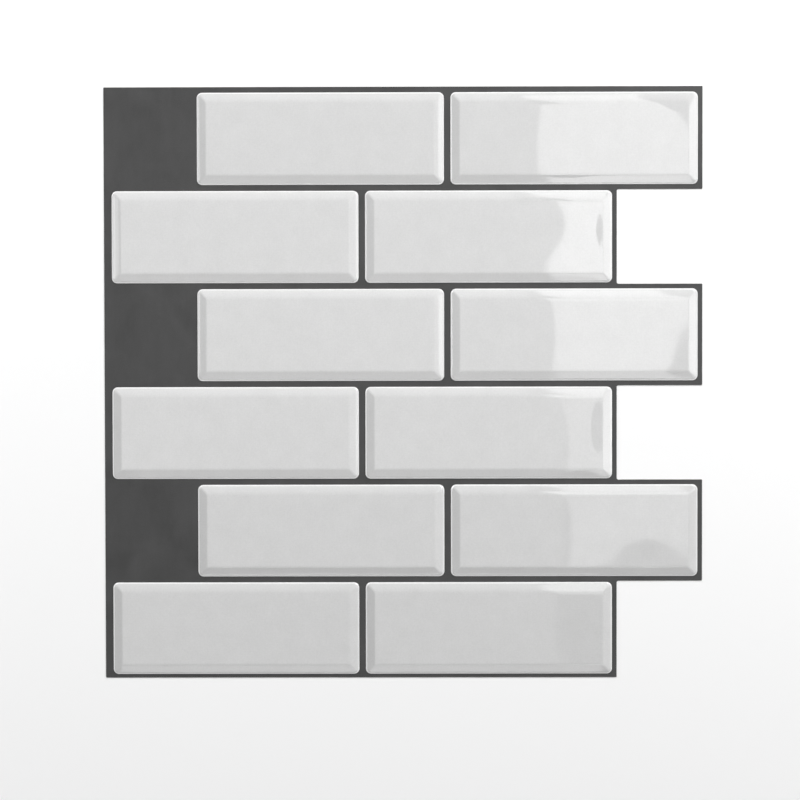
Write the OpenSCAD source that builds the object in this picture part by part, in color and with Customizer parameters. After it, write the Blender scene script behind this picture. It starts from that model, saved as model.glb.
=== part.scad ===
// Peel and stick backsplash sheet: bevelled gel tiles in running bond on a
// stepped, grout-coloured film, with the release liner still on its back.
// The sheet lies face up. X runs along the courses, Y up the wall, Z out of it.

/* [Tiles] */
// Length of one tile, along the course
tile_l = 126.5; // [60:0.5:200]
// Width of one tile, up the wall
tile_w = 47.2; // [25:0.1:100]
// Thickness of one tile at its flat face
tile_h = 1.7; // [1.5:0.1:3]
// Radius of a tile's corners, seen from the front
corner_r = 2.8; // [1.5:0.1:6]
// Width of the bevel round the face, rim included
bevel_w = 4.7; // [3:0.1:10]
// How far the bevel falls from the face to the tile's edge
bevel_drop = 0.85; // [0.2:0.05:0.9]
// Radius of the soft fold between the bevel and the face
fold_r = 12; // [10:1:15]
// How far the rolled rim falls from the bevel's edge to the upright wall
rim_fall = 0.56; // [0.44:0.02:0.8]
// Radius of the roll at the tile's rim
rim_r = 0.4; // [0.2:0.02:0.5]

/* [Bond] */
// Courses on the sheet
courses = 6; // [2:1:10]
// Tiles in each course
tiles_per_course = 2; // [1:1:4]
// Joint between two tiles of a course
head_joint = 3.3; // [1:0.1:8]
// Joint between two courses
bed_joint = 3.0; // [1:0.1:8]
// How far every other course is shifted to the right
course_shift = 43.8; // [20:0.1:80]

/* [Film] */
// Thickness of the printed film with its adhesive
film_t = 0.3; // [0.1:0.05:1]
// Thickness of the release liner
liner_t = 0.12; // [0.06:0.02:0.4]
// Bare film left of the unshifted courses
left_border = 4.0; // [1:0.1:12]
// Bare film right of the last tile of each course
right_border = 2.4; // [0.6:0.1:8]
// Bare film above the top course
top_border = 2.9; // [0.6:0.1:8]
// Bare film below the bottom course
bottom_border = 1.9; // [0.6:0.1:8]
// Film left above and below the end of a shifted course
tongue_border = 2.4; // [0.6:0.1:2.8]
// Radius of the cut film's outer corners
outer_cut_r = 0.4; // [0.2:0.1:1]
// Radius of the cut film's inner corners
inner_cut_r = 0.9; // [0.2:0.1:3]

/* [Hidden] */
$fn = 64;

// Slope of the rim where its roll ends
RIM_SLOPE = 30;
// Overshoot of a cutting shape past the solid that it cuts
OVER = 1;
// How much flatter the fold's arc is than one tangent to bevel and face
FOLD_FLATTER = 1.25;

// Height of the upright wall at the tile's foot
rim_wall = tile_h - bevel_drop - rim_fall;
// Where the roll ends and the rim carries on at its slope
roll_end = [rim_r * (1 - sin(RIM_SLOPE)), rim_wall + rim_r * cos(RIM_SLOPE)];

course_l = tiles_per_course * tile_l + (tiles_per_course - 1) * head_joint;
body_l = left_border + course_l + right_border;
sheet_l = body_l + course_shift;
sheet_w = top_border + courses * tile_w + (courses - 1) * bed_joint + bottom_border;

film_z = liner_t;
tile_z = film_z + film_t;

function tile_name(row, column) = str("tile_row", row, "_", column);

// Rows are counted from the top, and the odd ones are shifted
function is_shifted(row) = row % 2 == 1;
function tile_x(row, column) =
    left_border + (is_shifted(row) ? course_shift : 0) + (column - 1) * (tile_l + head_joint);
function tile_y(row) = sheet_w - top_border - row * tile_w - (row - 1) * bed_joint;

// Where the cut steps in or out between a row and the row below it
function step_y(row) =
    is_shifted(row) ? tile_y(row) - tongue_border : tile_y(row + 1) + tile_w + tongue_border;
function tongue_top(row) = row == 1 ? sheet_w : step_y(row - 1);
function tongue_foot(row) = row == courses ? 0 : step_y(row);

// What a rounded outer corner loses and a rounded inner corner gains, for a
// corner at the origin whose sides run to the right and up
module corner_web(r) {
    difference() {
        translate([-OVER, -OVER]) square(r + OVER);
        translate([r, r]) circle(r);
    }
}

// The cut outline of film and liner: a straight left edge and a stepped right
// edge, whose tongues lap over the bare flaps of the next sheet
module sheet_outline() {
    difference() {
        union() {
            square([body_l, sheet_w]);
            for (row = [1:courses]) if (is_shifted(row)) {
                translate([0, tongue_foot(row)])
                    square([sheet_l, tongue_top(row) - tongue_foot(row)]);
                if (row > 1)
                    translate([body_l, tongue_top(row)]) corner_web(inner_cut_r);
                if (row < courses)
                    translate([body_l, tongue_foot(row)]) mirror([0, 1]) corner_web(inner_cut_r);
            }
        }
        corner_web(outer_cut_r);
        translate([0, sheet_w]) mirror([0, 1]) corner_web(outer_cut_r);
        if (!is_shifted(courses))
            translate([body_l, 0]) mirror([1, 0]) corner_web(outer_cut_r);
        for (row = [1:courses]) if (is_shifted(row)) {
            translate([sheet_l, tongue_foot(row)])
                mirror([1, 0]) corner_web(outer_cut_r);
            translate([sheet_l, tongue_top(row)])
                mirror([1, 0]) mirror([0, 1]) corner_web(outer_cut_r);
        }
    }
}

// Places its children, drawn from the sheet's lower left corner, in the part's frame
module on_sheet() {
    translate([-sheet_l / 2, -sheet_w / 2]) children();
}

module release_liner() {
    color("#f4f2ea") on_sheet() linear_extrude(liner_t) sheet_outline();
}

module backing_film() {
    color("#565656") translate([0, 0, film_z]) on_sheet()
        linear_extrude(film_t) sheet_outline();
}

// The roll between the upright wall, on the Y axis, and the rim's slope
module rim_roll() {
    intersection() {
        translate([rim_r, rim_wall]) circle(rim_r);
        translate([-OVER, rim_wall]) square([2 * rim_r + OVER, rim_r + OVER]);
    }
}

// Section through the rim, from the inside at the Y axis out to the upright wall.
// Above its roll the rim carries on at its slope, higher than the bevel over it.
module rim_section() {
    apex = roll_end.y + (corner_r - roll_end.x) * tan(RIM_SLOPE);
    polygon([
        [0, 0], [corner_r, 0], [corner_r, rim_wall],
        [corner_r - roll_end.x, roll_end.y], [0, apex]
    ]);
    translate([corner_r, 0]) mirror([1, 0]) rim_roll();
}

// Section across a tile with the flat face, the fold and the bevel on both sides
module bevel_section(span) {
    slope = atan(bevel_drop / bevel_w);
    reach = fold_r * tan(slope / 2);
    fold_start = [bevel_w - reach * cos(slope), tile_h - reach * sin(slope)];
    fold_end = [bevel_w + reach, tile_h];
    // The arc is a little flatter than a tangent one, so it meets the face in a clean edge
    arc_r = fold_r * FOLD_FLATTER;
    sink = sqrt(pow(arc_r, 2) - pow(norm(fold_end - fold_start) / 2, 2));
    arc_centre = (fold_start + fold_end) / 2 + sink * [sin(slope / 2), -cos(slope / 2)];
    polygon([
        [0, -OVER], [span, -OVER], [span, tile_h - bevel_drop],
        [span - fold_start.x, fold_start.y], [span - fold_end.x, fold_end.y],
        fold_end, fold_start, [0, tile_h - bevel_drop]
    ]);
    for (side = [0, 1])
        translate([side * span, 0]) mirror([side, 0]) intersection() {
            translate(arc_centre) circle(arc_r, $fn = 720);
            polygon([
                [bevel_w, tile_h - bevel_drop], fold_end, [fold_end.x, tile_h + OVER],
                [fold_start.x, tile_h + OVER], fold_start
            ]);
        }
}

// Sweeps a section, drawn across X with its height up, along Y
module along_y(length) {
    translate([0, length, 0]) rotate([90, 0, 0]) linear_extrude(length) children();
}

// The same along X, for a section drawn across Y
module along_x(length) {
    rotate([90, 0, 90]) linear_extrude(length) children();
}

// Solid with the tile's front outline, its upright foot and its rolled rim:
// a core with the rim's section swept straight along its sides and round its corners
module rimmed_block() {
    core_l = tile_l - 2 * corner_r;
    core_w = tile_w - 2 * corner_r;
    translate([corner_r, corner_r, 0]) cube([core_l, core_w, tile_h + OVER]);
    for (side = [0, 1]) {
        translate([side * tile_l, 0, 0]) mirror([side, 0, 0])
            translate([corner_r, corner_r, 0]) mirror([1, 0, 0]) along_y(core_w) rim_section();
        translate([0, side * tile_w, 0]) mirror([0, side, 0])
            translate([corner_r, corner_r, 0]) mirror([0, 1, 0]) along_x(core_l) rim_section();
        for (end = [0, 1])
            translate([side * tile_l, end * tile_w, 0]) mirror([side, 0, 0]) mirror([0, end, 0])
                translate([corner_r, corner_r, 0]) rotate([0, 0, 180])
                    rotate_extrude(angle = 90) rim_section();
    }
}

// One bevelled gel tile, with its lower left corner at the origin
module gel_tile() {
    intersection() {
        rimmed_block();
        along_y(tile_w) bevel_section(tile_l);
        along_x(tile_l) bevel_section(tile_w);
    }
}

module placed_tile(row, column) {
    color("#dedede") on_sheet() translate([tile_x(row, column), tile_y(row), tile_z]) gel_tile();
}

release_liner();
backing_film();
for (row = [1:courses]) for (column = [1:tiles_per_course])
    placed_tile(row, column);
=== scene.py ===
"""Looks of a peel and stick backsplash sheet: glossy bevelled gel tiles on a dark grout film.

The sheet lies face up on a pale floor and the camera looks straight down on it.
Lengths are in metres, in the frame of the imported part.
"""

import logging
import math
from collections.abc import Callable, Iterator, Mapping
from dataclasses import dataclass, field
from enum import Enum
from typing import Any

import bmesh
import bpy
from mathutils import Euler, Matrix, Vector, noise


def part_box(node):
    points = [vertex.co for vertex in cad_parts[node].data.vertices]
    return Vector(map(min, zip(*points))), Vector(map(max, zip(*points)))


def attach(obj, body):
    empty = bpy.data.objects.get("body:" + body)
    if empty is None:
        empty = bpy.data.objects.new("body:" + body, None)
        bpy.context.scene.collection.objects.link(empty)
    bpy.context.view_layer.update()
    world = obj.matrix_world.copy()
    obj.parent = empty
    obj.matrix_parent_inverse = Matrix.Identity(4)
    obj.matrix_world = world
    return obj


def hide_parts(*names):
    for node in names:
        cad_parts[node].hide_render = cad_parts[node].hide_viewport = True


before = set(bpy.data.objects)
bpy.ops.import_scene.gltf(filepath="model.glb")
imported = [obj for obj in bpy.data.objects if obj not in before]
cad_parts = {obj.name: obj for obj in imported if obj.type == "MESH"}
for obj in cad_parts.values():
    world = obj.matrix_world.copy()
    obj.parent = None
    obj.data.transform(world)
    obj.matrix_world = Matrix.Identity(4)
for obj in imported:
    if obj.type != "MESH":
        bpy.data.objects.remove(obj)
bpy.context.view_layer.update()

MM = 0.001

LOG = logging.getLogger("backsplash")


class Side(Enum):
    """The four sides of a tile's bevel."""

    LEFT = "left"
    RIGHT = "right"
    BOTTOM = "bottom"
    TOP = "top"


class Number:
    """A number in a material: wraps a socket, and its operators add Math nodes."""

    def __init__(self, sheet: "NodeSheet", socket: bpy.types.NodeSocket) -> None:
        """Wraps a socket of a node.

        Args:
            sheet: The sheet that new nodes are drawn on.
            socket: The output socket that carries the number.
        """
        self.sheet = sheet
        self.socket = socket

    def _math(self, operation: str, *terms: Any) -> "Number":
        """Adds one Math node.

        Args:
            operation: Blender's name of the operation.
            *terms: Its inputs in order, as numbers of either kind.

        Returns:
            The node's result.
        """
        node = self.sheet.node("ShaderNodeMath", {"operation": operation}, dict(enumerate(terms)))
        return Number(self.sheet, node.outputs[0])

    def __add__(self, other: Any) -> "Number":
        """Adds a number."""
        return self._math("ADD", self, other)

    def __radd__(self, other: Any) -> "Number":
        """Adds this to a plain number."""
        return self._math("ADD", other, self)

    def __sub__(self, other: Any) -> "Number":
        """Takes a number away."""
        return self._math("SUBTRACT", self, other)

    def __rsub__(self, other: Any) -> "Number":
        """Takes this away from a plain number."""
        return self._math("SUBTRACT", other, self)

    def __mul__(self, other: Any) -> "Number":
        """Multiplies by a number."""
        return self._math("MULTIPLY", self, other)

    def __rmul__(self, other: Any) -> "Number":
        """Multiplies a plain number by this."""
        return self._math("MULTIPLY", other, self)

    def __truediv__(self, other: Any) -> "Number":
        """Divides by a number."""
        return self._math("DIVIDE", self, other)

    def __rtruediv__(self, other: Any) -> "Number":
        """Divides a plain number by this."""
        return self._math("DIVIDE", other, self)

    def at_least(self, other: Any) -> "Number":
        """The larger of this and another number."""
        return self._math("MAXIMUM", self, other)

    def at_most(self, other: Any) -> "Number":
        """The smaller of this and another number."""
        return self._math("MINIMUM", self, other)

    def wave(self, pitch: float) -> "Number":
        """A sine along this length, with its pitch in the same unit."""
        return self._math("SINE", self * (2 * math.pi / pitch))

    def root(self) -> "Number":
        """The square root."""
        return self._math("SQRT", self)

    def rise(self, start: float, end: float) -> "Number":
        """Goes softly from 0 to 1 as this number goes from start to end.

        Args:
            start: Where the result is 0.
            end: Where the result is 1; it may be the smaller of the two.

        Returns:
            The soft step.
        """
        settings = {"interpolation_type": "SMOOTHSTEP"}
        low, high = min(start, end), max(start, end)
        node = self.sheet.node("ShaderNodeMapRange", settings, {0: self, 1: low, 2: high})
        step = Number(self.sheet, node.outputs[0])
        return step if start < end else 1.0 - step


@dataclass(frozen=True)
class Patches:
    """Soft random patches in a finish.

    Attributes:
        size: How large they are, in metres.
        detail: How many finer layers lie on them.
        roughness: How strong those layers are.
        warp: How far the pattern is twisted.
        stretch: The factor on the pattern's own scale along each axis.
    """

    size: float
    detail: float = 2.0
    roughness: float = 0.5
    warp: float = 0.0
    stretch: tuple[float, float, float] = (1.0, 1.0, 1.0)


class NodeSheet:
    """The node sheet of one material, with its shader at hand."""

    def __init__(self, name: str) -> None:
        """Starts a material with one plastic-like shader.

        Args:
            name: The material's name.
        """
        self.material = bpy.data.materials.new(name)
        self.material.use_nodes = True
        self.tree = self.material.node_tree
        self.tree.nodes.clear()
        self.shader = self.node("ShaderNodeBsdfPrincipled")
        output = self.node("ShaderNodeOutputMaterial")
        self.tree.links.new(self.shader.outputs[0], output.inputs["Surface"])

    def node(
        self,
        kind: str,
        settings: Mapping[str, Any] | None = None,
        inputs: Mapping[Any, Any] | None = None,
    ) -> bpy.types.Node:
        """Adds one node.

        Args:
            kind: Blender's type of the node.
            settings: Its properties, which are set first.
            inputs: Values or links for its sockets, by name or number.

        Returns:
            The new node.
        """
        made = self.tree.nodes.new(kind)
        for key, value in (settings or {}).items():
            setattr(made, key, value)
        for key, value in (inputs or {}).items():
            self.feed(made.inputs[key], value)
        return made

    def feed(self, socket: bpy.types.NodeSocket, value: Any) -> None:
        """Gives a socket a plain value or a link.

        Args:
            socket: The input socket.
            value: A Number, an output socket or a plain value.
        """
        if isinstance(value, Number):
            value = value.socket
        if isinstance(value, bpy.types.NodeSocket):
            self.tree.links.new(value, socket)
        else:
            socket.default_value = value

    def surface(self, **values: Any) -> None:
        """Sets the shader's sockets, with an underscore in a name for a space."""
        for key, value in values.items():
            self.feed(self.shader.inputs[key.replace("_", " ")], value)

    def place(self) -> bpy.types.NodeSocket:
        """The point on the object, in metres."""
        return self.node("ShaderNodeTexCoord").outputs["Object"]

    def written(self, name: str) -> Number:
        """A number that is written on the mesh."""
        made = self.node("ShaderNodeAttribute", {"attribute_name": name})
        return Number(self, made.outputs["Fac"])

    def cloud(self, point: bpy.types.NodeSocket, patches: Patches) -> Number:
        """Soft random patches around 0, mostly between -0.5 and 0.5.

        Args:
            point: Where the pattern is read.
            patches: What the pattern is like.

        Returns:
            The pattern's value.
        """
        inputs = {"Vector": point, "Scale": patches.stretch}
        stretched = self.node("ShaderNodeMapping", {"vector_type": "POINT"}, inputs).outputs[0]
        inputs = {
            "Vector": stretched,
            "Scale": 1.0 / patches.size,
            "Detail": patches.detail,
            "Roughness": patches.roughness,
            "Distortion": patches.warp,
        }
        made = self.node("ShaderNodeTexNoise", {"noise_dimensions": "3D"}, inputs)
        return Number(self, made.outputs["Fac"]) - 0.5

    def split(self, point: bpy.types.NodeSocket) -> tuple[Number, Number, Number]:
        """The three coordinates of a point."""
        made = self.node("ShaderNodeSeparateXYZ", inputs={0: point})
        return tuple(Number(self, socket) for socket in made.outputs)

    def tinted(self, tone: Number, tint: tuple[float, float, float]) -> bpy.types.NodeSocket:
        """A colour as bright as a number, with a fixed tint.

        Args:
            tone: The brightness.
            tint: What each of the colour's channels is multiplied by.

        Returns:
            The colour.
        """
        grey = self.node("ShaderNodeCombineXYZ", inputs={0: tone, 1: tone, 2: tone})
        settings = {"operation": "MULTIPLY"}
        inputs = {0: grey.outputs[0], 1: tint}
        return self.node("ShaderNodeVectorMath", settings, inputs).outputs[0]

    def relief(self, height: Number, depth: float) -> bpy.types.NodeSocket:
        """A normal bent by a height pattern.

        Args:
            height: The pattern, about 1 from its lowest to its highest point.
            depth: What a height of 1 stands for, in metres.

        Returns:
            The normal.
        """
        return self.node("ShaderNodeBump", inputs={"Height": height, "Distance": depth}).outputs[0]


@dataclass(frozen=True)
class BevelTone:
    """The print on one side of the bevel.

    Attributes:
        at_face: Its brightness at the fold, against the face's.
        at_rim: Its brightness at the rim.
        wider: How far it reaches past the fold, in metres.
    """

    at_face: float
    at_rim: float
    wider: float = 0.0


@dataclass(frozen=True)
class GelFinish:
    """Clear gel over a printed grey-white tile face, with a printed bevel and a pale rim of painted
    highlight.

    The print follows each tile's own map, which gives metres from its lower left corner.

    Attributes:
        name: The material's name.
        face: The face's brightness.
        tint: The print's slight cast.
        rim: The brightness of the pale rim, a painted highlight along the gel's edge.
        rim_highlight_width: How far the rim's painted highlight reaches in from the outline.
        rim_highlight_core: The share of that width that is fully pale.
        side_tones: The print on each side of the bevel.
        fold_blur: How far either way the bevel's print fades at the fold.
        mitre_blur: Over what width the prints of two sides mix at a mitre.
        gloss: The gel's roughness.
        refraction: The gel's index of refraction.
        smear: Where the gel is duller or glossier.
        smear_gloss: How much of the smear is in the roughness.
        ripple: The gel's fine waves.
        ripple_depth: How deep they are.
        mottle: Broad clouds in the print.
        mottle_tone: How strong they are.
        fleck: Fine flecks in the print.
        fleck_tone: How strong they are.
        sway: How the linen threads wander.
        sway_reach: How far they wander.
        thread_pitch: The distance from thread to thread.
        thread_tone: How strong the threads are.
    """

    name: str = "gel_over_print_with_painted_light"
    face: float = 0.613
    tint: tuple[float, float, float] = (1.0, 1.0, 0.998)
    # Painted highlight: the rim's pale tone stands in for the glint at the gel's rolled edge
    rim: float = 0.88
    rim_highlight_width: float = 0.85 * MM
    rim_highlight_core: float = 0.55
    side_tones: Mapping[Side, BevelTone] = field(
        default_factory=lambda: {
            Side.LEFT: BevelTone(0.86, 0.88),
            Side.RIGHT: BevelTone(1.09, 1.15, 0.25 * MM),
            Side.BOTTOM: BevelTone(0.865, 0.885, 0.55 * MM),
            Side.TOP: BevelTone(1.02, 1.14, 0.4 * MM),
        }
    )
    fold_blur: float = 0.9 * MM
    mitre_blur: float = 0.9 * MM
    gloss: float = 0.032
    refraction: float = 1.5
    smear: Patches = Patches(22 * MM, detail=3.0)
    smear_gloss: float = 0.012
    ripple: Patches = Patches(3.2 * MM, detail=1.0, stretch=(1.0, 1.6, 1.0))
    ripple_depth: float = 0.0015 * MM
    mottle: Patches = Patches(9 * MM, detail=3.0)
    mottle_tone: float = 0.08
    fleck: Patches = Patches(0.8 * MM, roughness=0.7)
    fleck_tone: float = 0.16
    sway: Patches = Patches(6 * MM, detail=1.0)
    sway_reach: float = 1.4 * MM
    thread_pitch: float = 0.86 * MM
    thread_tone: float = 0.006

    def material(self, tile: "GelTile") -> bpy.types.Material:
        """Builds the finish for tiles of one size.

        Args:
            tile: A tile whose length, width, corners and bevel the print follows.

        Returns:
            The material.
        """
        sheet = NodeSheet(self.name)
        point = sheet.place()
        chart = sheet.node("ShaderNodeUVMap", {"uv_map": GelTile.MAP}).outputs[0]
        along, across, _ = sheet.split(chart)
        tone = self._print_with_painted_light(sheet, tile, along, across)
        tone = tone * (1.0 + self._grain(sheet, point))
        smear = sheet.cloud(point, self.smear)
        ripple = sheet.cloud(point, self.ripple)
        sheet.surface(
            Base_Color=sheet.tinted(tone, self.tint),
            Roughness=self.gloss + smear * self.smear_gloss,
            IOR=self.refraction,
            Normal=sheet.relief(ripple, self.ripple_depth),
        )
        return sheet.material

    def _print_with_painted_light(
        self, sheet: NodeSheet, tile: "GelTile", along: Number, across: Number
    ) -> Number:
        """The brightness: the print on face and four bevel sides, with painted shade by row and the
        rim's painted highlight.

        Args:
            sheet: The material's node sheet.
            tile: The tile whose sizes the print follows.
            along: Distance from the tile's left edge.
            across: Distance from the tile's bottom edge.

        Returns:
            The brightness.
        """
        reach = {
            Side.LEFT: along,
            Side.RIGHT: tile.length - along,
            Side.BOTTOM: across,
            Side.TOP: tile.width - across,
        }
        # Each tile's brightness scales the face's print: partly print, partly painted shade by row
        tone = self.face * sheet.written(GelTile.INK_AND_SHADE) * (1.0 + self._bevel_shade(tile, reach))
        # Painted highlight: the pale rim along the outline
        edge = self._from_outline(tile, reach)
        on_rim_highlight = edge.rise(self.rim_highlight_width, self.rim_highlight_width * self.rim_highlight_core)
        return tone + on_rim_highlight * (self.rim - tone)

    def _bevel_shade(self, tile: "GelTile", reach: Mapping[Side, Number]) -> Number:
        """How much lighter or darker the print is on the bevel than on the face.

        Args:
            tile: The tile whose bevel the print follows.
            reach: The distance from each of the tile's sides.

        Returns:
            The change, as a share of the face's brightness.
        """
        inset = reach[Side.LEFT]
        for side in (Side.RIGHT, Side.BOTTOM, Side.TOP):
            inset = inset.at_most(reach[side])
        shading, share = 0.0, 0.0
        for side, distance in reach.items():
            mine = (distance - inset).rise(self.mitre_blur, 0.0)
            ink_and_shade = self.side_tones[side]
            fold = tile.bevel_width + ink_and_shade.wider
            on_bevel = distance.rise(fold + self.fold_blur, fold - self.fold_blur)
            change = ink_and_shade.at_rim - 1.0 + distance * ((ink_and_shade.at_face - ink_and_shade.at_rim) / fold)
            shading = mine * on_bevel * change + shading
            share = mine + share
        return shading / share

    @staticmethod
    def _from_outline(tile: "GelTile", reach: Mapping[Side, Number]) -> Number:
        """The distance from the tile's outline, its rounded corners included.

        Args:
            tile: The tile.
            reach: The distance from each of the tile's sides.

        Returns:
            The distance, as far in as the corner's radius.
        """
        radius = tile.corner_radius
        off_x = (radius - reach[Side.LEFT].at_most(reach[Side.RIGHT])).at_least(0.0)
        off_y = (radius - reach[Side.BOTTOM].at_most(reach[Side.TOP])).at_least(0.0)
        return radius - (off_x * off_x + off_y * off_y).root()

    def _grain(self, sheet: NodeSheet, point: bpy.types.NodeSocket) -> Number:
        """The print's fine linen grain and faint mottling.

        Args:
            sheet: The material's node sheet.
            point: The point on the object.

        Returns:
            The change around 0, as a share of the print's brightness.
        """
        x, y, _ = sheet.split(point)
        mottle = sheet.cloud(point, self.mottle) * self.mottle_tone
        fleck = sheet.cloud(point, self.fleck) * self.fleck_tone
        sway = sheet.cloud(point, self.sway) * self.sway_reach
        threads = (x + sway).wave(self.thread_pitch) + (y + sway).wave(self.thread_pitch)
        return mottle + fleck + threads * self.thread_tone


@dataclass(frozen=True)
class FilmFinish:
    """Dark grey printed film with a soft sheen, cloudy where it is bare.

    Attributes:
        name: The material's name.
        tone: The print's brightness.
        tint: The print's cast.
        gloss: The film's roughness.
        refraction: The film's index of refraction.
        cloud: Broad clouds in the print.
        cloud_tone: How strong they are.
        cloud_gloss: How much of them is in the roughness.
        rub: Long faint rubs in the print.
        rub_tone: How strong they are.
        speck: The film's fine grain.
        speck_tone: How strong it is in the print.
        speck_gloss: How much of it is in the roughness.
        speck_depth: How deep it is.
    """

    name: str = "grout_film"
    tone: float = 0.044
    tint: tuple[float, float, float] = (1.0, 1.0, 1.0)
    gloss: float = 0.44
    refraction: float = 1.46
    cloud: Patches = Patches(26 * MM, detail=3.0, warp=0.6)
    cloud_tone: float = 0.8
    cloud_gloss: float = 0.12
    rub: Patches = Patches(4 * MM, stretch=(1.0, 0.35, 1.0))
    rub_tone: float = 0.25
    speck: Patches = Patches(0.5 * MM, roughness=0.75)
    speck_tone: float = 0.6
    speck_gloss: float = 0.06
    speck_depth: float = 0.012 * MM

    def material(self) -> bpy.types.Material:
        """Builds the finish.

        Returns:
            The material.
        """
        sheet = NodeSheet(self.name)
        point = sheet.place()
        cloud = sheet.cloud(point, self.cloud)
        speck = sheet.cloud(point, self.speck)
        rub = sheet.cloud(point, self.rub)
        change = 1.0 + cloud * self.cloud_tone + rub * self.rub_tone + speck * self.speck_tone
        sheet.surface(
            Base_Color=sheet.tinted(self.tone * change, self.tint),
            Roughness=self.gloss + cloud * self.cloud_gloss + speck * self.speck_gloss,
            IOR=self.refraction,
            Normal=sheet.relief(speck, self.speck_depth),
        )
        return sheet.material


@dataclass(frozen=True)
class LinerFinish:
    """Pale siliconed paper: a warm white with faint fibres and a slight calendered sheen.

    Attributes:
        name: The material's name.
        tone: The paper's brightness.
        tint: Its warm cast.
        gloss: Its roughness.
        pulp: Soft clouds in the paper.
        pulp_tone: How strong they are.
        fibre: The paper's fibres.
        fibre_tone: How strong they are in its colour.
        fibre_gloss: How much of them is in the roughness.
        fibre_depth: How deep they are.
    """

    name: str = "release_paper"
    tone: float = 0.8
    tint: tuple[float, float, float] = (1.0, 0.985, 0.94)
    gloss: float = 0.55
    pulp: Patches = Patches(5 * MM, detail=3.0)
    pulp_tone: float = 0.05
    fibre: Patches = Patches(0.7 * MM, detail=3.0, warp=1.2, stretch=(1.0, 0.3, 1.0))
    fibre_tone: float = 0.05
    fibre_gloss: float = 0.12
    fibre_depth: float = 0.01 * MM

    def material(self) -> bpy.types.Material:
        """Builds the finish.

        Returns:
            The material.
        """
        sheet = NodeSheet(self.name)
        point = sheet.place()
        fibre = sheet.cloud(point, self.fibre)
        pulp = sheet.cloud(point, self.pulp)
        tone = self.tone * (1.0 + pulp * self.pulp_tone + fibre * self.fibre_tone)
        sheet.surface(
            Base_Color=sheet.tinted(tone, self.tint),
            Roughness=self.gloss + fibre * self.fibre_gloss,
            Normal=sheet.relief(fibre, self.fibre_depth),
        )
        return sheet.material


@dataclass(frozen=True)
class FloorFinish:
    """Plain pale studio floor.

    Attributes:
        name: The material's name.
        tone: The floor's brightness.
        tint: Its cast.
        gloss: Its roughness.
        shine: How much it reflects, against common plastics' 0.5.
        haze: Faint broad clouds.
        haze_tone: How strong they are.
    """

    name: str = "studio_floor"
    tone: float = 0.92
    tint: tuple[float, float, float] = (1.0, 1.0, 1.0)
    gloss: float = 0.7
    shine: float = 0.2
    haze: Patches = Patches(0.3, detail=1.0)
    haze_tone: float = 0.01

    def material(self) -> bpy.types.Material:
        """Builds the finish.

        Returns:
            The material.
        """
        sheet = NodeSheet(self.name)
        haze = sheet.cloud(sheet.place(), self.haze)
        sheet.surface(
            Base_Color=sheet.tinted(self.tone + haze * self.haze_tone, self.tint),
            Roughness=self.gloss,
            Specular_IOR_Level=self.shine,
        )
        return sheet.material


@dataclass(frozen=True)
class Dent:
    """A shallow hollow in the gel, bell-shaped, in metres from the tile's lower left corner."""

    x: float
    y: float
    reach_x: float
    reach_y: float
    depth: float

    def fall(self, x: float, y: float) -> float:
        """How far the skin lies lower at a point."""
        away = ((x - self.x) / self.reach_x) ** 2 + ((y - self.y) / self.reach_y) ** 2
        return self.depth * math.exp(-away)


@dataclass(frozen=True)
class Curve:
    """How one side's bevel is curved: the radius of its fold, and how far it bulges."""

    fold: float
    bulge: float


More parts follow.
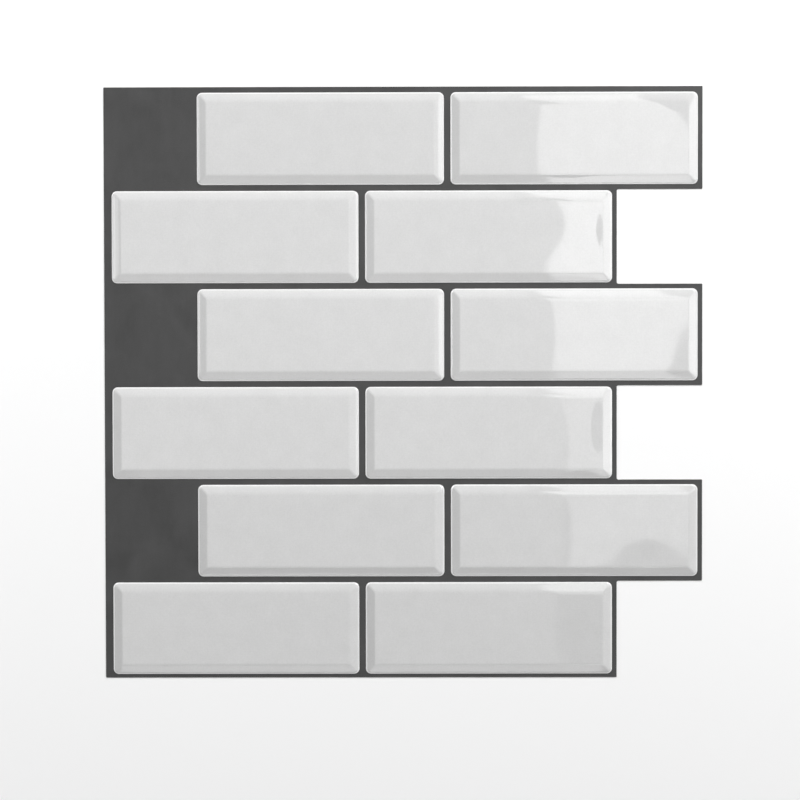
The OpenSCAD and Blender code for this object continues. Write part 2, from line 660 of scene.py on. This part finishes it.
@dataclass
class GelTile:
    """One bevelled gel tile, poured on the film, over its node's own footprint and height.

    Attributes:
        node: The node that it stands for.
        low: The lower left corner of the node's box, on the film.
        high: The upper right corner of the node's box, at the face.
        seed: What tells the tile's swell from the other tiles'.
        corner_radius: The radius of its corners, seen from the front.
        bevel_width: The bevel's width, rim included.
        bevel_drop: How far the bevel falls from the face to the outline.
        curves: How each side's bevel is curved.
        mitre_power: How crisp the mitres are.
        rim_fall: How far the rim falls from the bevel's edge to the upright wall.
        rim_radius: The radius of the roll at the rim.
        rim_slope: The slope at which the rim carries on above its roll.
        ink_and_shade: How bright the tile is against the other tiles, partly its print's tone and
            partly painted shade for its row.
        sinks: How much deeper the bevel falls on some sides.
        dents: The hollows in its gel.
        swell: The depth of the gel's slow waves.
        swell_size: The length of those waves.
        cell: The size of the mesh's cells on the face.
    """

    MAP = "tile_metres"
    # Each tile's brightness, written on the mesh: partly print, partly painted shade by row
    INK_AND_SHADE = "tile_ink_and_shade"
    # How far in from the outline the mesh's close lines lie, in mm: over the rim, then over the fold
    RIM_LINES = (0.0, 0.05, 0.13, 0.25, 0.4, 0.6, 0.82, 1.05, 1.5, 2.1, 2.8)
    FOLD_LINES = (3.3, 3.7, 4.0, 4.2, 4.4, 4.55, 4.7, 4.85, 5.0, 5.2, 5.5, 6.0, 6.7)
    # How far apart two tiles' swells are read in the noise
    SWELL_STEP = 7.31

    node: str
    low: Vector
    high: Vector
    seed: int
    corner_radius: float = 2.8 * MM
    bevel_width: float = 4.7 * MM
    bevel_drop: float = 0.85 * MM
    curves: Mapping[Side, Curve] = field(
        default_factory=lambda: {
            Side.LEFT: Curve(1.5 * MM, 0.045 * MM),
            Side.RIGHT: Curve(1.5 * MM, 0.045 * MM),
            Side.BOTTOM: Curve(1.5 * MM, 0.012 * MM),
            Side.TOP: Curve(18 * MM, 0.012 * MM),
        }
    )
    mitre_power: float = 9.0
    rim_fall: float = 0.56 * MM
    rim_radius: float = 0.4 * MM
    rim_slope: float = math.radians(30)
    ink_and_shade: float = 1.0
    sinks: Mapping[Side, float] = field(default_factory=dict)
    dents: tuple[Dent, ...] = ()
    swell: float = 0.035 * MM
    swell_size: float = 34 * MM
    cell: float = 1.3 * MM

    @property
    def length(self) -> float:
        """Length along the course."""
        return self.high.x - self.low.x

    @property
    def width(self) -> float:
        """Width up the wall."""
        return self.high.y - self.low.y

    def build(self) -> bpy.types.Object:
        """Makes the tile's mesh.

        Returns:
            The tile, standing in for its node.
        """
        rows = self._stations(self.width)
        columns = self._stations(self.length)
        bm = bmesh.new()
        bmesh.ops.create_grid(bm, x_segments=len(columns) - 1, y_segments=len(rows) - 1, size=1.0)
        for vert in bm.verts:
            column = round((vert.co.x + 1) / 2 * (len(columns) - 1))
            row = round((vert.co.y + 1) / 2 * (len(rows) - 1))
            vert.co = self._shaped(columns[column], rows[row])
        self._pour_down_to_film(bm)
        self._map(bm)
        return finished_piece(bm, self.node + "_gel", self.node)

    def _stations(self, span: float) -> list[float]:
        """Where the mesh's lines cross a side: close at rim and fold, even between.

        Args:
            span: The side's length.

        Returns:
            Distances along the side, from 0 to span.
        """
        border = [step * MM for step in self.RIM_LINES + self.FOLD_LINES]
        inner = span - 2 * border[-1]
        cells = math.ceil(inner / self.cell)
        middle = [border[-1] + inner * step / cells for step in range(1, cells)]
        return border + middle + [span - step for step in reversed(border)]

    def _shaped(self, x: float, y: float) -> Vector:
        """Takes a point of the flat net to its place on the tile.

        Args:
            x: Distance from the left edge on the net.
            y: Distance from the bottom edge on the net.

        Returns:
            The point on the tile's skin.
        """
        left = x < self.length / 2
        bottom = y < self.width / 2
        a = x if left else self.length - x
        b = y if bottom else self.width - y
        inset = min(a, b)
        a, b = self._rounded(a, b, inset)
        end = self._bevel_fall(Side.LEFT if left else Side.RIGHT, a)
        side = self._bevel_fall(Side.BOTTOM if bottom else Side.TOP, b)
        fall = (end**self.mitre_power + side**self.mitre_power) ** (1 / self.mitre_power)
        height = min(self._rim_height(inset), self.high.z - self.low.z - fall)
        flat_x = a if left else self.length - a
        flat_y = b if bottom else self.width - b
        height -= self._sag(flat_x, flat_y, min(a, b))
        return Vector((self.low.x + flat_x, self.low.y + flat_y, self.low.z + height))

    def _rounded(self, a: float, b: float, inset: float) -> tuple[float, float]:
        """Bends the square net round the tile's corner.

        Args:
            a: Distance from the nearest end.
            b: Distance from the nearest long side.
            inset: The smaller of the two.

        Returns:
            Both distances after the bend.
        """
        radius = self.corner_radius
        if max(a, b) >= radius or inset >= radius:
            return a, b
        reach = radius - inset
        turn = math.radians(45) * (radius - max(a, b)) / reach
        near = radius - reach * math.cos(turn)
        far = radius - reach * math.sin(turn)
        return (near, far) if a <= b else (far, near)

    def _rim_height(self, inset: float) -> float:
        """How high the rolled rim stands at a distance from the outline.

        Args:
            inset: The distance.

        Returns:
            The height above the film.
        """
        wall = (self.high.z - self.low.z) - self.bevel_drop - self.rim_fall
        roll = self.rim_radius
        end = roll * (1 - math.sin(self.rim_slope))
        if inset < end:
            return wall + math.sqrt(roll**2 - (roll - inset) ** 2)
        return wall + roll * math.cos(self.rim_slope) + (inset - end) * math.tan(self.rim_slope)

    def _bevel_fall(self, side: Side, inset: float) -> float:
        """How far bevel, fold or face lies below the face at a distance from one side.

        Args:
            side: The side.
            inset: The distance from it.

        Returns:
            The fall.
        """
        curve = self.curves[side]
        drop = self.bevel_drop + self.sinks.get(side, 0.0)
        slope = math.atan2(drop, self.bevel_width)
        reach = curve.fold * math.tan(slope / 2)
        start = self.bevel_width - reach * math.cos(slope)
        if inset < start:
            bulge = curve.bulge * 4 * (inset / start) * (1 - inset / start)
            return drop - inset * math.tan(slope) - bulge
        away = max(self.bevel_width + reach - inset, 0.0)
        return curve.fold - math.sqrt(curve.fold**2 - away**2)

    def _sag(self, x: float, y: float, inset: float) -> float:
        """How far the poured gel lies below its true shape, for soft uneven reflections.

        Args:
            x: Distance from the left edge.
            y: Distance from the bottom edge.
            inset: Distance from the nearest edge.

        Returns:
            The fall, which runs out towards the outline.
        """
        spot = Vector((x / self.swell_size, y / self.swell_size, self.seed * self.SWELL_STEP))
        wave = 0.5 + 0.5 * noise.noise(spot)
        fall = self.swell * wave + sum(dent.fall(x, y) for dent in self.dents)
        return fall * min(max(inset / self.bevel_width, 0.0), 1.0)

    def _pour_down_to_film(self, bm: bmesh.types.BMesh) -> None:
        """Closes the skin with its upright wall and its underside.

        Args:
            bm: The mesh, so far the open upper skin.
        """
        edges = [edge for edge in bm.edges if edge.is_boundary]
        wall = bmesh.ops.extrude_edge_only(bm, edges=edges)["geom"]
        for vert in (item for item in wall if isinstance(item, bmesh.types.BMVert)):
            vert.co.z = self.low.z
        foot = [item for item in wall if isinstance(item, bmesh.types.BMEdge) and item.is_boundary]
        bmesh.ops.contextual_create(bm, geom=foot)
        bmesh.ops.recalc_face_normals(bm, faces=bm.faces)

    def _map(self, bm: bmesh.types.BMesh) -> None:
        """Writes the tile's own map, metres from its lower left corner, and its brightness, partly
        painted shade.

        Args:
            bm: The mesh.
        """
        ink_and_shade = bm.verts.layers.float.new(self.INK_AND_SHADE)
        for vert in bm.verts:
            vert[ink_and_shade] = self.ink_and_shade
        layer = bm.loops.layers.uv.new(self.MAP)
        for face in bm.faces:
            for loop in face.loops:
                spot = loop.vert.co - self.low
                loop[layer].uv = (spot.x, spot.y)


def finished_piece(bm: bmesh.types.BMesh, name: str, node: str) -> bpy.types.Object:
    """Turns a mesh under work into a smooth piece that stands for a node.

    Args:
        bm: The mesh under work, which is freed.
        name: The piece's name.
        node: The node that it stands for.

    Returns:
        The piece, riding on the sheet.
    """
    mesh = bpy.data.meshes.new(name)
    bm.to_mesh(mesh)
    bm.free()
    mesh.shade_smooth()
    piece = bpy.data.objects.new(name, mesh)
    bpy.context.scene.collection.objects.link(piece)
    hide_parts(node)
    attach(piece, "root")
    return piece


@dataclass
class TileField:
    """All the gel tiles of the sheet, one for each tile node, with rows counted from the top.

    Attributes:
        finish: The tiles' finish.
        prefix: What the tile nodes' names start with, before row and column.
        row_ink_and_shade: How bright each row is against the other rows, partly its print's tone and
            partly painted shade for how the row lies to the light.
        sinks: How much deeper some tiles' bevels fall, by tile and side.
        dents: The hollows in some tiles' gel, by tile.
    """

    finish: GelFinish = field(default_factory=GelFinish)
    prefix: str = "tile_row"
    # Partly print, partly painted shade: rows lighter or darker as they lie to the light
    row_ink_and_shade: tuple[float, ...] = (0.96, 1.0, 1.015, 1.01, 0.975, 0.96)
    sinks: Mapping[str, Mapping[Side, float]] = field(
        default_factory=lambda: {
            "tile_row1_2": {Side.BOTTOM: 0.08 * MM},
            "tile_row2_2": {Side.RIGHT: 0.15 * MM},
            "tile_row4_2": {Side.RIGHT: 0.25 * MM},
        }
    )
    dents: Mapping[str, tuple[Dent, ...]] = field(
        default_factory=lambda: {
            "tile_row1_2": (
                Dent(128.0 * MM, 50.0 * MM, 20 * MM, 8.5 * MM, 0.55 * MM),
                Dent(128.0 * MM, 50.0 * MM, 20 * MM, 18 * MM, 0.18 * MM),
                Dent(60.0 * MM, 10.0 * MM, 19 * MM, 22 * MM, 0.06 * MM),
            ),
            "tile_row2_2": (
                Dent(88.5 * MM, 29.5 * MM, 17 * MM, 16 * MM, 0.15 * MM),
                Dent(124.0 * MM, 27.0 * MM, 6 * MM, 20 * MM, 0.29 * MM),
            ),
            "tile_row3_2": (
                Dent(38.4 * MM, 24.0 * MM, 18 * MM, 16 * MM, 0.045 * MM),
                Dent(128.0 * MM, 12.0 * MM, 18 * MM, 20 * MM, 0.175 * MM),
                Dent(128.0 * MM, -6.0 * MM, 18 * MM, 9 * MM, 0.47 * MM),
            ),
            "tile_row4_2": (
                Dent(89.5 * MM, 21.0 * MM, 18 * MM, 25 * MM, 0.125 * MM),
                Dent(124.0 * MM, 26.5 * MM, 7 * MM, 19 * MM, 0.50 * MM),
            ),
            "tile_row5_2": (
                Dent(45.6 * MM, 24.0 * MM, 18 * MM, 25 * MM, 0.10 * MM),
                Dent(101.0 * MM, 6.0 * MM, 17 * MM, 14 * MM, 0.14 * MM),
            ),
        }
    )

    def tiles(self) -> Iterator[GelTile]:
        """Plans the tiles, course by course.

        Yields:
            Each tile, with its place, brightness (partly painted shade), sinks and dents.
        """
        names = sorted(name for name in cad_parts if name.startswith(self.prefix))
        for seed, name in enumerate(names):
            low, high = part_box(name)
            row = int(name.removeprefix(self.prefix).split("_")[0])
            tile = GelTile(name, Vector(low), Vector(high), seed)
            tile.ink_and_shade = self.row_ink_and_shade[(row - 1) % len(self.row_ink_and_shade)]
            tile.dents = self.dents.get(name, ())
            tile.sinks = self.sinks.get(name, {})
            yield tile

    def build(self) -> list[bpy.types.Object]:
        """Builds and dresses every tile.

        Returns:
            The tiles.
        """
        pieces = []
        material = None
        for tile in self.tiles():
            piece = tile.build()
            material = material or self.finish.material(tile)
            piece.data.materials.append(material)
            pieces.append(piece)
        return pieces


@dataclass
class Backing:
    """The film and its liner, whose shapes are right as they are and only need a finish.

    Attributes:
        finishes: What makes each layer's material, by the layer's node.
    """

    finishes: Mapping[str, Callable[[], bpy.types.Material]] = field(
        default_factory=lambda: {
            "backing_film": FilmFinish().material,
            "release_liner": LinerFinish().material,
        }
    )

    def build(self) -> list[bpy.types.Object]:
        """Dresses both layers.

        Returns:
            The layers.
        """
        pieces = []
        for name, finish in self.finishes.items():
            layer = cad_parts[name]
            material = finish()
            for slot in layer.material_slots:
                slot.material = material
            pieces.append(layer)
        return pieces


@dataclass
class Softbox:
    """A rectangular studio light that looks straight down.

    Attributes:
        name: The light's name.
        centre: Where it hangs.
        size: Its length along X and Y, in metres.
        radiance: How bright its face is.
        turn: How far it is turned about the upright, in degrees.
    """

    name: str
    centre: Vector
    size: tuple[float, float]
    radiance: float
    turn: float = 0.0

    def build(self) -> bpy.types.Object:
        """Hangs the light, turned about the upright.

        Returns:
            The light.
        """
        lamp = bpy.data.lights.new(self.name, "AREA")
        lamp.shape = "RECTANGLE"
        lamp.size, lamp.size_y = self.size
        lamp.energy = self.radiance * math.pi * self.size[0] * self.size[1]
        light = bpy.data.objects.new(self.name, lamp)
        light.location = self.centre
        light.rotation_euler.z = math.radians(self.turn)
        bpy.context.scene.collection.objects.link(light)
        return light


@dataclass
class FarPane:
    """A far, faint window of light, given by where the camera sees its image on a flat sheet.

    Attributes:
        name: The light's name.
        low: The image's lower left corner, in mm on the sheet's plane.
        high: The image's upper right corner.
        radiance: How bright its face is.
        turn: How far it is turned about the upright, in degrees.
        height: How high it hangs above the sheet, in metres.
    """

    name: str
    low: tuple[float, float]
    high: tuple[float, float]
    radiance: float
    turn: float = 0.0
    height: float = 2.6

    def softbox(self, eye: Vector) -> Softbox:
        """The light whose mirror image fills the patch.

        Args:
            eye: The camera's place.

        Returns:
            The light.
        """
        spread = 1 + self.height / eye.z
        corners = (Vector(corner) * MM for corner in (self.low, self.high))
        low, high = ((corner - eye.xy) * spread + eye.xy for corner in corners)
        centre = ((low + high) / 2).to_3d()
        centre.z = self.height
        return Softbox(self.name, centre, tuple(high - low), self.radiance, self.turn)


@dataclass
class Studio:
    """Floor, light and camera.

    Attributes:
        floor_span: The floor's length and width.
        floor_gap: How far it lies under the sheet.
        sky: How bright the room is all round.
        camera_place: Where the camera hangs.
        camera_turn: How it is turned about X, Y and Z, in degrees.
        lens: Its focal length, in mm.
        sensor: Its sensor's width, in mm.
        near_clip: The nearest that it sees.
    """

    floor_span: float = 6.0
    floor_gap: float = 0.05 * MM
    sky: float = 0.18
    camera_place: Vector = field(default_factory=lambda: Vector((3.32, 9.89, 969.4)) * MM)
    camera_turn: tuple[float, float, float] = (-1.105, 0.292, -0.105)
    lens: float = 85.0
    sensor: float = 36.0
    near_clip: float = 0.01

    def build(self) -> list[bpy.types.Object]:
        """Sets up the studio.

        Returns:
            Its floor, lights and camera.
        """
        self._sky()
        return [self._floor(), *self._lights(), self._camera()]

    def _floor(self) -> bpy.types.Object:
        """Lays the plain pale floor.

        Returns:
            The floor.
        """
        bm = bmesh.new()
        bmesh.ops.create_grid(bm, x_segments=1, y_segments=1, size=self.floor_span / 2)
        bmesh.ops.translate(bm, verts=bm.verts, vec=(0.0, 0.0, -self.floor_gap))
        mesh = bpy.data.meshes.new("studio_floor")
        bm.to_mesh(mesh)
        bm.free()
        floor = bpy.data.objects.new("studio_floor", mesh)
        floor.data.materials.append(FloorFinish().material())
        bpy.context.scene.collection.objects.link(floor)
        return floor

    def _lights(self) -> list[bpy.types.Object]:
        """Hangs soft lights at either side of the top, and far panes for the reflections.

        Lights that overlap hang at different heights, because a reflection shows only one
        of two lights that lie in one plane.

        Returns:
            The lights.
        """
        near = (
            Softbox("left_light", Vector((-0.9575, 0.6, 0.9)), (0.605, 1.2), 2.5),
            Softbox("left_fill", Vector((-0.925, 0.6, 0.91)), (0.67, 1.2), 2.45),
            Softbox("right_light", Vector((0.8, 0.85, 0.9)), (0.8, 0.7), 10.9),
        )
        far = (
            FarPane("wall", (-160.0, -330.0), (72.0, 450.0), 0.85, 2.0, height=2.7),
            FarPane("top_pane", (74.0, 152.0), (140.9, 420.0), 3.6, 3.5),
            FarPane("upper_pane", (71.8, 99.5), (148.4, 152.0), 3.6, 2.0),
            FarPane("second_pane", (73.1, 49.7), (148.9, 99.5), 5.0, 2.0),
            FarPane("third_pane", (75.8, 0.0), (150.6, 49.7), 3.6, 2.0),
            FarPane("lower_pane", (78.1, -93.0), (153.5, 0.0), 2.2, 4.2),
            FarPane("foot_pane", (78.0, -190.0), (154.0, -148.0), 5.0, 2.0),
            FarPane("low_pane", (82.0, -285.0), (156.0, -190.0), 3.0, 2.0),
            FarPane("side_pane", (262.0, -50.0), (700.0, 200.0), 3.2),
            FarPane("front_pane", (-160.0, -520.0), (112.0, -378.0), 2.7),
        )
        lights = [*near, *(pane.softbox(self.camera_place) for pane in far)]
        return [light.build() for light in lights]

    def _sky(self) -> None:
        """Fills the room with an even pale light."""
        world = bpy.data.worlds.new("studio_sky")
        world.use_nodes = True
        shade = world.node_tree.nodes["Background"]
        shade.inputs["Color"].default_value = (1.0, 1.0, 1.0, 1.0)
        shade.inputs["Strength"].default_value = self.sky
        bpy.context.scene.world = world

    def _camera(self) -> bpy.types.Object:
        """Hangs the camera above the sheet, at the photograph's viewing angle.

        Returns:
            The camera.
        """
        lens = bpy.data.cameras.new("camera")
        lens.lens = self.lens
        lens.sensor_width = self.sensor
        lens.clip_start = self.near_clip
        camera = bpy.data.objects.new("camera", lens)
        camera.location = self.camera_place
        camera.rotation_euler = Euler([math.radians(turn) for turn in self.camera_turn])
        bpy.context.scene.collection.objects.link(camera)
        bpy.context.scene.camera = camera
        return camera


def main() -> None:
    """Builds the studio and the sheet, and reports each piece."""
    logging.basicConfig(level=logging.INFO, format="%(name)s: %(message)s")
    bpy.context.scene.view_settings.view_transform = "Standard"
    for part in (Studio(), Backing(), TileField()):
        for piece in part.build():
            LOG.info("%s made %s", type(part).__name__, piece.name)


if __name__ == "__main__":
    main()
